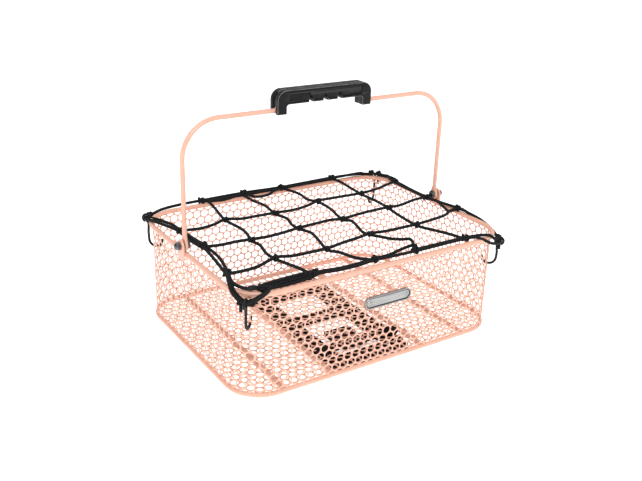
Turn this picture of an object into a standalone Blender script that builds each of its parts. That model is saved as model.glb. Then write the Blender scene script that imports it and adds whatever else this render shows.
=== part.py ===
"""Low carrier basket for a bicycle rack.

A perforated steel tub between two bent rods, a folding bail with a moulded grip, an elastic cargo
net on four wire hooks, and a quick-release adapter plate with a sprung latch below the floor.

Metres, +Z up. X runs along the long sides and -Y is the badge side. The origin is on the ground
below the middle of the basket.
"""
import math

import bmesh
import bpy
from mathutils import Matrix, Vector

MM = 0.001
GAP = 0.3 * MM                     # kept between pieces that touch

# Tub: half sizes are to the middle of the rods.
RIM_HALF = (170.4 * MM, 125.9 * MM)
RIM_CORNER = 39.7 * MM
RIM_RADIUS = 2.75 * MM
RIM_Z = 124.1 * MM
RING_HALF = (168.4 * MM, 123.8 * MM)
RING_CORNER = 38.0 * MM
RING_RADIUS = 2.5 * MM
RING_Z = 10.0 * MM
SHEET = 0.8 * MM                   # wall and floor sheet
WALL_HALF = (168.8 * MM, 124.4 * MM)
WALL_CORNER = 38.3 * MM
WALL_BOTTOM = RING_Z + RING_RADIUS + GAP
WALL_TOP = RIM_Z - RIM_RADIUS - GAP
HOLE_RADIUS = 4.2 * MM             # the punched holes of the sheet
FLOOR_Z = 10.6 * MM                # middle of the floor sheet
BAR_X = (-120 * MM, -61 * MM, 61 * MM, 120 * MM)
BAR_SIZE = (8 * MM, 2 * MM)
BAR_END_Y = 119.5 * MM

# Bail, its pivots and its grip.
PIVOT_Y = 3.5 * MM
PIVOT_Z = 133.4 * MM
PIVOT = (0.0, PIVOT_Y, PIVOT_Z)    # on the hinge axis, half way along it
BAIL_HALF = 170.0 * MM
BAIL_TOP = 265.3 * MM
BAIL_BEND = 41.0 * MM
BAIL_RADIUS = 2.5 * MM
BAIL_RAISE = 11.5 * MM             # the wire steps up inside the grip
EYE_RADIUS = 6.2 * MM
EYE_THICK = 3.6 * MM
NECK = (6.4 * MM, 9.5 * MM)        # flattened neck above the eye: width, height from the pivot
WIRE_START = 5.7 * MM              # the round wire begins this far above the pivot
BOLT_RADIUS = 2.5 * MM
BOLT_HOLE = 2.8 * MM
TAB_X = 173.5 * MM                 # inner face
TAB_THICK = 2.2 * MM
TAB_HALF = 7.0 * MM
TAB_BOTTOM = 118.5 * MM
SPACER_RADIUS = 4.6 * MM
GRIP_X = -3.0 * MM                 # middle of the grip
GRIP_HALF = 60.5 * MM
GRIP_LEG = 11.5 * MM
GRIP_BOTTOM = 261.5 * MM
GRIP_UNDER = 271.8 * MM
GRIP_TOP = 287.0 * MM
GRIP_DEPTH = 16.6 * MM
GRIP_CORNER = 11.0 * MM
NOTCH_PITCH = 18.4 * MM
NOTCH_SIZE = (3.6 * MM, 5.2 * MM)

# Badge on the front wall.
BADGE_X = 3.0 * MM
BADGE_Z = 84.2 * MM
BADGE_SIZE = (61 * MM, 14 * MM, 2.4 * MM)
BADGE_BORDER = 1.6 * MM
RIVET_X = 23.5 * MM

# Adapter plate below the floor, its latch and the clamps that hold it.
PLATE_HALF_X = 53 * MM
PLATE_Y = (-111 * MM, 110 * MM)
PLATE_THICK = 7.4 * MM
PLATE_CORNER = 8 * MM
WINDOW_HALF_X = 31.4 * MM
REAR_WINDOW_Y = (10.5 * MM, 63 * MM)
FRONT_WINDOW_Y = (-90 * MM, -4 * MM)       # the latch slides in it
LATCH_HALF_X = 17 * MM
LATCH_Y = (-76 * MM, -36 * MM)
LATCH_Z = (0.8 * MM, 6.8 * MM)
WING_HALF_X = 34.0 * MM
WING_Z = (2.8 * MM, 4.8 * MM)
SPRING_BORE = 2.4 * MM
SPRING_RADIUS = 1.8 * MM
SPRING_WIRE = 0.35 * MM
SPRING_Y = (FRONT_WINDOW_Y[0] + GAP, -58 * MM)
SPRING_TURNS = 9
CLAMP_X = 46 * MM
CLAMP_Y = (-81 * MM, 81 * MM)      # front pair, rear pair
BOSS_RADIUS = 6.5 * MM
SCREW_RADIUS = 2.0 * MM
SCREW_HEAD = (4.2 * MM, 2.6 * MM)
DISC_RADIUS = 8.5 * MM
DISC_HEIGHT = 4.6 * MM

# Cargo net: cord centres. Rows run along X, columns along Y.
CORD = 1.5 * MM                    # cord radius
NET_Z = 130.4 * MM
ROW_RISE = 1.7 * MM                # rows pass this far above NET_Z, columns as far below
ROW_ENDS = (                       # left border knot, inner knots, right border knot
    ((-156, 52), (-94, 58), (-33, 49), (34, 61), (98, 57), (167, 75)),
    ((-150.5, 2), (-97, -10), (-34, -5), (25, -5), (97, 1.5), (161, 8)),
    ((-161, -72), (-99, -65), (-40, -71), (27, -59), (90, -62), (172, -40)),
)
COLUMN_ENDS = (                    # back border knot, inner knots, front border knot
    ((-93, 130), (-94, 58), (-97, -10), (-99, -65), (-88, -118)),
    ((-35, 130), (-33, 49), (-34, -5), (-40, -71), (-11, -117)),
    ((18, 128), (34, 61), (25, -5), (27, -59), (43, -121)),
    ((99, 129), (98, 57), (97, 1.5), (90, -62), (113, -121)),
)
BORDER_POINTS = (                  # through the border knots, anticlockwise from the front left
    (-146, -117.5), (-88, -118), (-11, -117), (43, -121), (113, -121), (151, -117.5),
    (167, -100), (171, -44), (162.5, -16), (161, 8), (163, 34), (167, 75), (164, 103), (147, 122),
    (99, 129), (18, 128), (-35, 130), (-93, 130), (-147, 122), (-163.5, 103),
    (-156, 52), (-150.5, 2), (-161, -72), (-163, -102),
)
HOOK_WIRE = 1.3 * MM
HOOK_RING = 4.6 * MM               # eye, to the middle of the wire
HOOK_EYE = 48.9 * MM               # middle of the eye from the corner's own centre
HOOKS = {                          # side in X, side in Y, lowest point, middle of the eye
    "front_left": (-1, -1, 86.9 * MM, 117.0 * MM),
    "front_right": (1, -1, 86.9 * MM, 115.5 * MM),
    "back_right": (1, 1, 89.2 * MM, 121.0 * MM),
    "back_left": (-1, 1, 89.2 * MM, 123.0 * MM),
}
HOOK_HOLE_Z = 88.5 * MM            # the punched hole that each hook passes through

PARTS = "carrier_basket"
CUTTERS = "cutters"


# --- scene and materials ---

def clear_scene():
    for obj in list(bpy.data.objects):
        bpy.data.objects.remove(obj, do_unlink=True)
    for name in (PARTS, CUTTERS):
        collection = bpy.data.collections.new(name)
        bpy.context.scene.collection.children.link(collection)


def material(name, colour, roughness, metallic=0.0):
    mat = bpy.data.materials.new(name)
    mat.use_nodes = True
    shader = mat.node_tree.nodes["Principled BSDF"]
    shader.inputs["Base Color"].default_value = (*colour, 1.0)
    shader.inputs["Roughness"].default_value = roughness
    shader.inputs["Metallic"].default_value = metallic
    mat.diffuse_color = (*colour, 1.0)
    return mat


def make_materials():
    return {
        "coat": material("salmon_powder_coat", (0.86, 0.46, 0.34), 0.42),
        "black": material("black_moulding", (0.025, 0.026, 0.028), 0.5),
        "cord": material("black_elastic_cord", (0.02, 0.02, 0.022), 0.75),
        "wire": material("black_coated_wire", (0.02, 0.02, 0.02), 0.35),
        "steel": material("zinc_plated_steel", (0.6, 0.6, 0.6), 0.35, 1.0),
        "badge": material("brushed_badge", (0.66, 0.67, 0.68), 0.3, 1.0),
    }


def add_part(name, mesh, mat, matrix=None, origin=None):
    """Link a sub-part; with an origin given, its own zero point is moved there."""
    mesh.materials.clear()
    mesh.materials.append(mat)
    if origin is not None:
        moved = Matrix.Translation(-Vector(origin))
        mesh.transform(moved if matrix is None else moved @ matrix)
        matrix = Matrix.Translation(origin)
    obj = bpy.data.objects.new(name, mesh)
    if matrix is not None:
        obj.matrix_world = matrix
    bpy.data.collections[PARTS].objects.link(obj)
    return obj


def add_cutter(name, mesh, matrix=None):
    obj = bpy.data.objects.new(name, mesh)
    if matrix is not None:
        obj.matrix_world = matrix
    obj.hide_render = True
    obj.display_type = "WIRE"
    bpy.data.collections[CUTTERS].objects.link(obj)
    return obj


# --- shapes ---

def curve_mesh(name, splines, dimensions, bevel=0.0, extrude=0.0, sides=2):
    """Mesh of a curve made of (points, closed) splines, with its caps welded on."""
    curve = bpy.data.curves.new(name, "CURVE")
    curve.dimensions = dimensions
    curve.render_resolution_u = 0
    curve.bevel_depth = bevel
    curve.bevel_resolution = sides
    curve.extrude = extrude
    curve.use_fill_caps = dimensions == "3D"
    curve.fill_mode = "FULL" if dimensions == "3D" else "BOTH"
    for points, closed in splines:
        spline = curve.splines.new("POLY")
        spline.points.add(len(points) - 1)
        for point, place in zip(spline.points, points):
            point.co = (*place, 1.0) if len(place) == 3 else (*place, 0.0, 1.0)
        spline.use_cyclic_u = closed
    guide = bpy.data.objects.new(name + "_curve", curve)
    bpy.context.scene.collection.objects.link(guide)
    graph = bpy.context.evaluated_depsgraph_get()
    mesh = bpy.data.meshes.new_from_object(guide.evaluated_get(graph))
    bpy.data.objects.remove(guide, do_unlink=True)
    mesh.name = name
    bm = bmesh.new()
    bm.from_mesh(mesh)
    bmesh.ops.remove_doubles(bm, verts=bm.verts, dist=0.001 * MM)
    bmesh.ops.recalc_face_normals(bm, faces=bm.faces)
    bm.to_mesh(mesh)
    bm.free()
    return mesh


def tube_mesh(name, points, radius, closed=False, sides=2):
    mesh = curve_mesh(name, [(points, closed)], "3D", bevel=radius, sides=sides)
    mesh.shade_smooth()
    mesh.set_sharp_from_angle(angle=math.radians(40))
    return mesh


def plate_mesh(name, outlines, thickness):
    """Flat plate in XY, centred on Z = 0; outlines after the first are its windows."""
    return curve_mesh(name, [(points, True) for points in outlines], "2D", extrude=thickness / 2)


def box_mesh(name, size):
    bm = bmesh.new()
    bmesh.ops.create_cube(bm, size=1.0, matrix=Matrix.Diagonal((*size, 1.0)))
    mesh = bpy.data.meshes.new(name)
    bm.to_mesh(mesh)
    bm.free()
    return mesh


def cylinder_mesh(name, radius, depth, segments=24):
    bm = bmesh.new()
    bmesh.ops.create_cone(bm, cap_ends=True, segments=segments, radius1=radius,
                          radius2=radius, depth=depth)
    mesh = bpy.data.meshes.new(name)
    bm.to_mesh(mesh)
    bm.free()
    return mesh


def turned_part(name, profile, mat, place, turn=Matrix.Identity(4), steps=16):
    """Turned piece: profile is (radius, height) down its outer side, on its own Z axis."""
    mesh = bpy.data.meshes.new(name)
    mesh.from_pydata([(r, 0.0, z) for r, z in profile],
                     [(i, i + 1) for i in range(len(profile) - 1)], [])
    obj = add_part(name, mesh, mat, Matrix.Translation(place) @ turn)
    screw = obj.modifiers.new("turn", "SCREW")
    screw.steps = steps
    screw.render_steps = steps
    screw.use_merge_vertices = True
    screw.merge_threshold = 0.001 * MM
    screw.use_smooth_shade = True
    return obj


def boolean(target, tool, operation="DIFFERENCE"):
    modifier = target.modifiers.new(tool.name, "BOOLEAN")
    modifier.operation = operation
    modifier.solver = "EXACT"
    modifier.object = tool


def soften(obj, width, segments=2, angle=40):
    bevel = obj.modifiers.new("edges", "BEVEL")
    bevel.width = width
    bevel.segments = segments
    bevel.limit_method = "ANGLE"
    bevel.angle_limit = math.radians(angle)


def arc(centre, radius, start, end, steps):
    """Points of an arc in degrees, both ends included."""
    angles = [math.radians(start + (end - start) * i / steps) for i in range(steps + 1)]
    return [(centre[0] + radius * math.cos(a), centre[1] + radius * math.sin(a)) for a in angles]


def rounded_rectangle(half_x, half_y, radius, steps=8, middle=(0.0, 0.0)):
    points = []
    for sx, sy, start in ((1, -1, -90), (1, 1, 0), (-1, 1, 90), (-1, -1, 180)):
        corner = (middle[0] + sx * (half_x - radius), middle[1] + sy * (half_y - radius))
        points += arc(corner, radius, start, start + 90, steps)
    return points


def at_height(points, z):
    return [(x, y, z) for x, y in points]


def smooth_route(knots, step, closed=False):
    """Evenly spaced points on a Catmull-Rom curve through the knots."""
    knots = [Vector(k) for k in knots]
    count = len(knots)
    spans = count if closed else count - 1
    dense = []
    for i in range(spans):
        if closed:
            p0, p1, p2, p3 = (knots[(i + k) % count] for k in (-1, 0, 1, 2))
        else:
            p0, p1, p2, p3 = (knots[min(max(i + k, 0), count - 1)] for k in (-1, 0, 1, 2))
        for j in range(12):
            t = j / 12
            dense.append(0.5 * (2 * p1 + (p2 - p0) * t + (2 * p0 - 5 * p1 + 4 * p2 - p3) * t ** 2
                                + (3 * p1 - p0 - 3 * p2 + p3) * t ** 3))
    dense.append(knots[0] if closed else knots[-1])
    lengths = [0.0]
    for a, b in zip(dense, dense[1:]):
        lengths.append(lengths[-1] + (b - a).length)
    pieces = max(2, round(lengths[-1] / step))
    points, k = [], 0
    for i in range(pieces + (0 if closed else 1)):
        want = lengths[-1] * i / pieces
        while k < len(lengths) - 2 and lengths[k + 1] < want:
            k += 1
        share = (want - lengths[k]) / (lengths[k + 1] - lengths[k])
        points.append(dense[k].lerp(dense[k + 1], share))
    return points


# --- tub ---

def make_rods(mats):
    rim = rounded_rectangle(*RIM_HALF, RIM_CORNER, 10)
    ring = rounded_rectangle(*RING_HALF, RING_CORNER, 10)
    add_part("top_rim", tube_mesh("top_rim", at_height(rim, RIM_Z), RIM_RADIUS, True), mats["coat"])
    add_part("bottom_ring", tube_mesh("bottom_ring", at_height(ring, RING_Z), RING_RADIUS, True),
             mats["coat"])


def corner_point(side_x, side_y, radius):
    """Point on the diagonal of a tub corner, at a radius from the corner's own centre."""
    centre = Vector((side_x * (RIM_HALF[0] - RIM_CORNER), side_y * (RIM_HALF[1] - RIM_CORNER), 0))
    return centre + Vector((side_x, side_y, 0)).normalized() * radius


def make_wall(mats):
    """Perforated wall as a plain sheet, open where the hooks and the badge rivets go through."""
    loop = rounded_rectangle(*WALL_HALF, WALL_CORNER, 10)
    bm = bmesh.new()
    low = [bm.verts.new((x, y, WALL_BOTTOM)) for x, y in loop]
    edges = [bm.edges.new((a, b)) for a, b in zip(low, low[1:] + low[:1])]
    grown = bmesh.ops.extrude_edge_only(bm, edges=edges)["geom"]
    rise = Vector((0, 0, WALL_TOP - WALL_BOTTOM))
    bmesh.ops.translate(bm, verts=[v for v in grown if isinstance(v, bmesh.types.BMVert)], vec=rise)
    bmesh.ops.recalc_face_normals(bm, faces=bm.faces)
    mesh = bpy.data.meshes.new("wall_mesh")
    bm.to_mesh(mesh)
    bm.free()
    wall = add_part("wall_mesh", mesh, mats["coat"])
    shell = wall.modifiers.new("sheet", "SOLIDIFY")
    shell.thickness = SHEET
    shell.offset = 0.0
    shell.use_even_offset = True
    for name, (side_x, side_y, _, _) in HOOKS.items():
        place = corner_point(side_x, side_y, WALL_CORNER)
        place.z = HOOK_HOLE_Z
        turn = Vector((side_x, side_y, 0)).to_track_quat("Z", "Y").to_matrix().to_4x4()
        hole = cylinder_mesh("hook_hole_" + name, HOLE_RADIUS, 8 * MM, 16)
        boolean(wall, add_cutter("hook_hole_" + name, hole, Matrix.Translation(place) @ turn))
    for side in (-1, 1):
        name = "rivet_hole_left" if side < 0 else "rivet_hole_right"
        place = Vector((BADGE_X + side * RIVET_X, -WALL_HALF[1], BADGE_Z))
        turn = Matrix.Rotation(math.radians(90), 4, "X")
        hole = cylinder_mesh(name, 1.9 * MM, 8 * MM, 12)
        boolean(wall, add_cutter(name, hole, Matrix.Translation(place) @ turn))


def make_floor(mats):
    inset = RING_RADIUS + GAP
    outline = rounded_rectangle(RING_HALF[0] - inset, RING_HALF[1] - inset, RING_CORNER - inset, 8)
    holes = [rounded_rectangle(SCREW_RADIUS + GAP, SCREW_RADIUS + GAP, SCREW_RADIUS + GAP, 3, place)
             for place in clamp_places(CLAMP_Y[:1])]
    mesh = plate_mesh("floor_mesh", [outline] + holes, SHEET)
    add_part("floor_mesh", mesh, mats["coat"], Matrix.Translation((0, 0, FLOOR_Z)))
    bar_z = FLOOR_Z - SHEET / 2 - GAP - BAR_SIZE[1] / 2
    for index, x in enumerate(BAR_X):
        name = f"floor_bar_{index + 1}"
        mesh = box_mesh(name, (BAR_SIZE[0], 2 * BAR_END_Y, BAR_SIZE[1]))
        soften(add_part(name, mesh, mats["coat"], Matrix.Translation((x, 0, bar_z))), 0.4 * MM, 1)


# --- bail ---

def side_name(side):
    return "left" if side < 0 else "right"


def bail_route():
    """Middle of the wire from the left pivot to the right one."""
    straight = BAIL_HALF - BAIL_BEND
    step_out, step_in = GRIP_HALF - 1 * MM, GRIP_HALF - 12.5 * MM
    points = [(-BAIL_HALF, PIVOT_Z + WIRE_START)]
    points += arc((-straight, BAIL_TOP - BAIL_BEND), BAIL_BEND, 180, 90, 9)
    for side, order in ((-1, 1), (1, -1)):
        step = []
        for i in range(9):
            x = step_out + (step_in - step_out) * i / 8
            rise = BAIL_RAISE * 0.5 * (1 - math.cos(math.pi * i / 8))
            step.append((GRIP_X + side * x, BAIL_TOP + rise))
        points += step[::order]
    points += arc((straight, BAIL_TOP - BAIL_BEND), BAIL_BEND, 90, 0, 9)
    points.append((BAIL_HALF, PIVOT_Z + WIRE_START))
    return [(x, PIVOT_Y, z) for x, z in points]


def make_bail(mats):
    bail = add_part("bail", tube_mesh("bail", bail_route(), BAIL_RADIUS), mats["coat"],
                    origin=PIVOT)
    flat = Matrix.Rotation(math.radians(90), 4, "Y")
    for side in (-1, 1):
        place = Matrix.Translation((side * BAIL_HALF, PIVOT_Y, PIVOT_Z))
        eye = cylinder_mesh("eye", EYE_RADIUS, EYE_THICK, 24)
        boolean(bail, add_cutter("eye_" + side_name(side), eye, place @ flat), "UNION")
        neck = box_mesh("neck", (EYE_THICK, NECK[0], NECK[1]))
        above = place @ Matrix.Translation((0, 0, NECK[1] / 2))
        boolean(bail, add_cutter("neck_" + side_name(side), neck, above), "UNION")
    for side in (-1, 1):
        place = Matrix.Translation((side * BAIL_HALF, PIVOT_Y, PIVOT_Z))
        hole = cylinder_mesh("eye_hole", BOLT_HOLE, 10 * MM, 16)
        boolean(bail, add_cutter("eye_hole_" + side_name(side), hole, place @ flat))


def make_pivots(mats):
    """Welded tabs, and a bolt, spacer and cap nut for each pivot."""
    top = arc((PIVOT_Y, PIVOT_Z), TAB_HALF, 0, 180, 12)
    outline = [(PIVOT_Y + TAB_HALF, TAB_BOTTOM)] + top + [(PIVOT_Y - TAB_HALF, TAB_BOTTOM)]
    hole = arc((PIVOT_Y, PIVOT_Z), BOLT_HOLE, 0, 337.5, 15)
    upright = Matrix(((0, 0, 1, 0), (1, 0, 0, 0), (0, 1, 0, 0), (0, 0, 0, 1)))
    tab_middle = TAB_X + TAB_THICK / 2
    head_x = BAIL_HALF - EYE_THICK / 2 - GAP
    spacer_in, spacer_out = BAIL_HALF + EYE_THICK / 2 + GAP, TAB_X - GAP
    nut_x = TAB_X + TAB_THICK + GAP
    for side in (-1, 1):
        name = side_name(side)
        mesh = plate_mesh("tab_" + name, [outline, hole], TAB_THICK)
        tab = add_part("tab_" + name, mesh, mats["coat"],
                       Matrix.Translation((side * tab_middle, 0, 0)) @ upright)
        soften(tab, 0.3 * MM, 1, 60)
        outward = Matrix.Rotation(math.radians(90 * side), 4, "Y")
        bolt = [(0, 10.5 * MM), (BOLT_RADIUS, 10.5 * MM), (BOLT_RADIUS, 0), (5 * MM, 0),
                (5 * MM, -1.4 * MM), (4.2 * MM, -2.4 * MM), (2.2 * MM, -2.9 * MM),
                (2.2 * MM, -1.6 * MM), (0, -1.6 * MM)]
        turned_part("pivot_bolt_" + name, bolt, mats["steel"],
                    (side * head_x, PIVOT_Y, PIVOT_Z), outward)
        width = spacer_out - spacer_in
        spacer = [(BOLT_HOLE, width), (SPACER_RADIUS, width), (SPACER_RADIUS, 0), (BOLT_HOLE, 0),
                  (BOLT_HOLE, width)]
        turned_part("pivot_spacer_" + name, spacer, mats["steel"],
                    (side * spacer_in, PIVOT_Y, PIVOT_Z), outward)
        nut = [(0, 6.2 * MM), (2.0 * MM, 5.8 * MM), (3.4 * MM, 4.6 * MM), (4.0 * MM, 3.0 * MM),
               (4.4 * MM, 3.0 * MM), (4.4 * MM, 0), (BOLT_HOLE, 0), (BOLT_HOLE, 4.2 * MM),
               (0, 4.2 * MM)]
        turned_part("pivot_nut_" + name, nut, mats["steel"],
                    (side * nut_x, PIVOT_Y, PIVOT_Z), outward)


def grip_outline():
    """Arch of the grip in X and Z, with three finger notches in its underside."""
    left, right = GRIP_X - GRIP_HALF, GRIP_X + GRIP_HALF
    corner = GRIP_CORNER
    points = [(left, GRIP_BOTTOM), (left + GRIP_LEG, GRIP_BOTTOM)]
    points += arc((left + GRIP_LEG + 3 * MM, GRIP_UNDER - 3 * MM), 3 * MM, 180, 90, 3)
    for i in (-1, 0, 1):
        middle = GRIP_X + i * NOTCH_PITCH
        half, top = NOTCH_SIZE[0] / 2, GRIP_UNDER + NOTCH_SIZE[1]
        points += [(middle - half, GRIP_UNDER), (middle - half, top),
                   (middle + half, top), (middle + half, GRIP_UNDER)]
    points += arc((right - GRIP_LEG - 3 * MM, GRIP_UNDER - 3 * MM), 3 * MM, 90, 0, 3)
    points += [(right - GRIP_LEG, GRIP_BOTTOM), (right, GRIP_BOTTOM)]
    points += arc((right - corner, GRIP_TOP - corner), corner, 0, 90, 6)
    points += arc((left + corner, GRIP_TOP - corner), corner, 90, 180, 6)
    return points


def make_grip(mats):
    """Two moulded shells that close around the raised part of the wire."""
    groove = add_cutter("grip_groove", tube_mesh("grip_groove", bail_route(), BAIL_RADIUS + GAP))
    thick = (GRIP_DEPTH - GAP) / 2
    upright = Matrix.Rotation(math.radians(90), 4, "X")
    for side, name in ((-1, "grip_front"), (1, "grip_back")):
        mesh = plate_mesh(name, [grip_outline()], thick)
        place = Matrix.Translation((0, PIVOT_Y + side * (GAP / 2 + thick / 2), 0))
        shell = add_part(name, mesh, mats["black"], place @ upright, PIVOT)
        soften(shell, 0.9 * MM, 2, 60)
        boolean(shell, groove)


# --- badge ---

def stadium(half_x, half_y, steps=8):
    straight = half_x - half_y
    return arc((straight, 0), half_y, -90, 90, steps) + arc((-straight, 0), half_y, 90, 270, steps)


def make_badge(mats):
    """Blank oblong plate with a raised border, held by two rivets."""
    half_x, half_y, thick = BADGE_SIZE[0] / 2, BADGE_SIZE[1] / 2, BADGE_SIZE[2]
    outer_y = -WALL_HALF[1] - SHEET / 2 - GAP
    upright = Matrix.Rotation(math.radians(90), 4, "X")
    middle = Matrix.Translation((BADGE_X, outer_y - thick / 2, BADGE_Z))
    holes = [[(x + side * RIVET_X, y) for x, y in arc((0, 0), 1.9 * MM, 0, 330, 11)]
             for side in (-1, 1)]
    mesh = plate_mesh("badge_plate", [stadium(half_x, half_y)] + holes, thick)
    badge = add_part("badge_plate", mesh, mats["badge"], middle @ upright)
    field = plate_mesh("badge_field", [stadium(half_x - BADGE_BORDER, half_y - BADGE_BORDER)],
                       1.2 * MM)
    place = Matrix.Translation((BADGE_X, outer_y - thick, BADGE_Z))
    boolean(badge, add_cutter("badge_field", field, place @ upright))
    outward = Matrix.Rotation(math.radians(90), 4, "X")
    face = thick - 0.6 * MM + GAP
    back = -(SHEET + 2 * GAP)
    profile = [(0, face + 1.3 * MM), (1.8 * MM, face + 1.1 * MM), (3.2 * MM, face + 0.3 * MM),
               (3.2 * MM, face), (1.5 * MM, face), (1.5 * MM, back), (5.0 * MM, back),
               (5.0 * MM, back - 0.8 * MM), (2.4 * MM, back - 1.6 * MM), (0, back - 1.6 * MM)]
    for side in (-1, 1):
        place = (BADGE_X + side * RIVET_X, outer_y, BADGE_Z)
        turned_part("badge_rivet_" + side_name(side), profile, mats["badge"], place, outward)


# --- adapter plate and latch ---

def clamp_places(rows):
    return [(side * CLAMP_X, y) for y in rows for side in (-1, 1)]


def make_adapter(mats):
    """Ladder-shaped plate whose bosses reach up to the floor sheet."""
    middle_y = sum(PLATE_Y) / 2
    outline = rounded_rectangle(PLATE_HALF_X, (PLATE_Y[1] - PLATE_Y[0]) / 2, PLATE_CORNER, 5,
                                (0, middle_y))
    windows = [rounded_rectangle(WINDOW_HALF_X, (high - low) / 2, 4 * MM, 3, (0, (low + high) / 2))
               for low, high in (REAR_WINDOW_Y, FRONT_WINDOW_Y)]
    mesh = plate_mesh("adapter_plate", [outline] + windows, PLATE_THICK)
    plate = add_part("adapter_plate", mesh, mats["black"],
                     Matrix.Translation((0, 0, PLATE_THICK / 2)))
    soften(plate, 0.8 * MM, 1, 60)
    boss_top = FLOOR_Z - SHEET / 2 - GAP
    for index, (x, y) in enumerate(clamp_places(CLAMP_Y)):
        boss = cylinder_mesh("boss", BOSS_RADIUS, boss_top - 1 * MM, 20)
        place = Matrix.Translation((x, y, (boss_top + 1 * MM) / 2))
        boolean(plate, add_cutter(f"boss_{index + 1}", boss, place), "UNION")
    groove_half = WING_HALF_X + 0.4 * MM
    groove_z = (WING_Z[0] - 0.3 * MM, WING_Z[1] + 0.3 * MM)
    low, high = FRONT_WINDOW_Y[0] + 3 * MM, LATCH_Y[1]
    groove = box_mesh("latch_groove", (2 * groove_half, high - low, groove_z[1] - groove_z[0]))
    place = Matrix.Translation((0, (high + low) / 2, sum(groove_z) / 2))
    boolean(plate, add_cutter("latch_groove", groove, place))
    for index, (x, y) in enumerate(clamp_places(CLAMP_Y[:1])):
        hole = cylinder_mesh("clamp_hole", SCREW_RADIUS + GAP, 40 * MM, 16)
        boolean(plate, add_cutter(f"clamp_hole_{index + 1}", hole, Matrix.Translation((x, y, 0))))
        sink = cylinder_mesh("clamp_sink", SCREW_HEAD[0] + 0.6 * MM, 8 * MM, 20)
        boolean(plate, add_cutter(f"clamp_sink_{index + 1}", sink, Matrix.Translation((x, y, 0))))


def make_clamps(mats):
    """Screws from below into round discs that grip the floor sheet."""
    head_z = 4.0 * MM - GAP - SCREW_HEAD[1]
    tip = FLOOR_Z + 4.0 * MM - head_z
    screw = [(0, tip), (SCREW_RADIUS, tip), (SCREW_RADIUS, SCREW_HEAD[1]),
             (SCREW_HEAD[0], SCREW_HEAD[1]), (SCREW_HEAD[0], 0.5 * MM),
             (SCREW_HEAD[0] - 0.5 * MM, 0), (2.0 * MM, 0), (1.6 * MM, 1.4 * MM), (0, 1.4 * MM)]
    disc_z = FLOOR_Z + SHEET / 2 + GAP
    bore = SCREW_RADIUS + GAP
    disc = [(0, DISC_HEIGHT), (5.5 * MM, DISC_HEIGHT), (7.6 * MM, DISC_HEIGHT - 0.9 * MM),
            (DISC_RADIUS, DISC_HEIGHT - 2.6 * MM), (DISC_RADIUS, 0), (bore, 0),
            (bore, DISC_HEIGHT - 1.1 * MM), (0, DISC_HEIGHT - 1.1 * MM)]
    for x, y in clamp_places(CLAMP_Y[:1]):
        name = side_name(x)
        turned_part("clamp_screw_" + name, screw, mats["steel"], (x, y, head_z))
        turned_part("clamp_disc_" + name, disc, mats["black"], (x, y, disc_z), steps=20)


def make_latch(mats):
    """Sliding latch with side wings that run in the plate's grooves, and its return spring."""
    middle_z = sum(LATCH_Z) / 2
    length = LATCH_Y[1] - LATCH_Y[0]
    body = box_mesh("latch_slide", (2 * LATCH_HALF_X, length, LATCH_Z[1] - LATCH_Z[0]))
    latch = add_part("latch_slide", body, mats["black"],
                     Matrix.Translation((0, sum(LATCH_Y) / 2, middle_z)))
    soften(latch, 0.6 * MM, 1)
    wing = box_mesh("latch_wing", (2 * WING_HALF_X, 16 * MM, WING_Z[1] - WING_Z[0]))
    place = Matrix.Translation((0, LATCH_Y[0] + 9 * MM, sum(WING_Z) / 2))
    boolean(latch, add_cutter("latch_wing", wing, place), "UNION")
    turn = Matrix.Rotation(math.radians(90), 4, "X")
    depth = SPRING_Y[1] + GAP - LATCH_Y[0]
    bore = cylinder_mesh("spring_bore", SPRING_BORE, 2 * depth, 16)
    place = Matrix.Translation((0, LATCH_Y[0], middle_z)) @ turn
    boolean(latch, add_cutter("spring_bore", bore, place))
    pocket = box_mesh("finger_pocket", (22 * MM, 12 * MM, 3 * MM))
    place = Matrix.Translation((0, LATCH_Y[1] - 16 * MM, LATCH_Z[0]))
    boolean(latch, add_cutter("finger_pocket", pocket, place))
    steps = 8 * SPRING_TURNS
    coil = SPRING_RADIUS - SPRING_WIRE
    inset = SPRING_WIRE + GAP
    run = SPRING_Y[1] - SPRING_Y[0] - 2 * inset
    points = []
    for i in range(steps + 1):
        angle = 2 * math.pi * SPRING_TURNS * i / steps
        points.append((coil * math.cos(angle), SPRING_Y[0] + inset + run * i / steps,
                       middle_z + coil * math.sin(angle)))
    add_part("latch_spring", tube_mesh("latch_spring", points, SPRING_WIRE, sides=0),
             mats["steel"], origin=(0.0, SPRING_Y[0], middle_z))


# --- cargo net ---

def net_points(places, z):
    return [(x * MM, y * MM, z) for x, y in places]


def shortened(points, cut):
    """The route without its first and last stretch of the given length."""
    points = [Vector(p) for p in points]
    for _ in range(2):
        left = cut
        while (points[1] - points[0]).length < left:
            left -= (points[1] - points[0]).length
            points.pop(0)
        points[0] = points[0].lerp(points[1], left / (points[1] - points[0]).length)
        points.reverse()
    return points


def make_net(mats):
    """Rows over columns, between two border strands that run round the rim."""
    reach = 2 * CORD + GAP + 0.2 * MM
    lines = [(f"net_row_{i + 1}", row, NET_Z + ROW_RISE) for i, row in enumerate(ROW_ENDS)]
    lines += [(f"net_column_{i + 1}", column, NET_Z - ROW_RISE)
              for i, column in enumerate(COLUMN_ENDS)]
    for name, places, z in lines:
        route = shortened(smooth_route(net_points(places, z), 9 * MM), reach)
        add_part(name, tube_mesh(name, route, CORD, sides=1), mats["cord"])
    for name, z in (("net_border_upper", NET_Z + ROW_RISE), ("net_border_lower", NET_Z - ROW_RISE)):
        route = smooth_route(net_points(BORDER_POINTS, z), 13 * MM, closed=True)
        add_part(name, tube_mesh(name, route, CORD, True, sides=1), mats["cord"])


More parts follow.
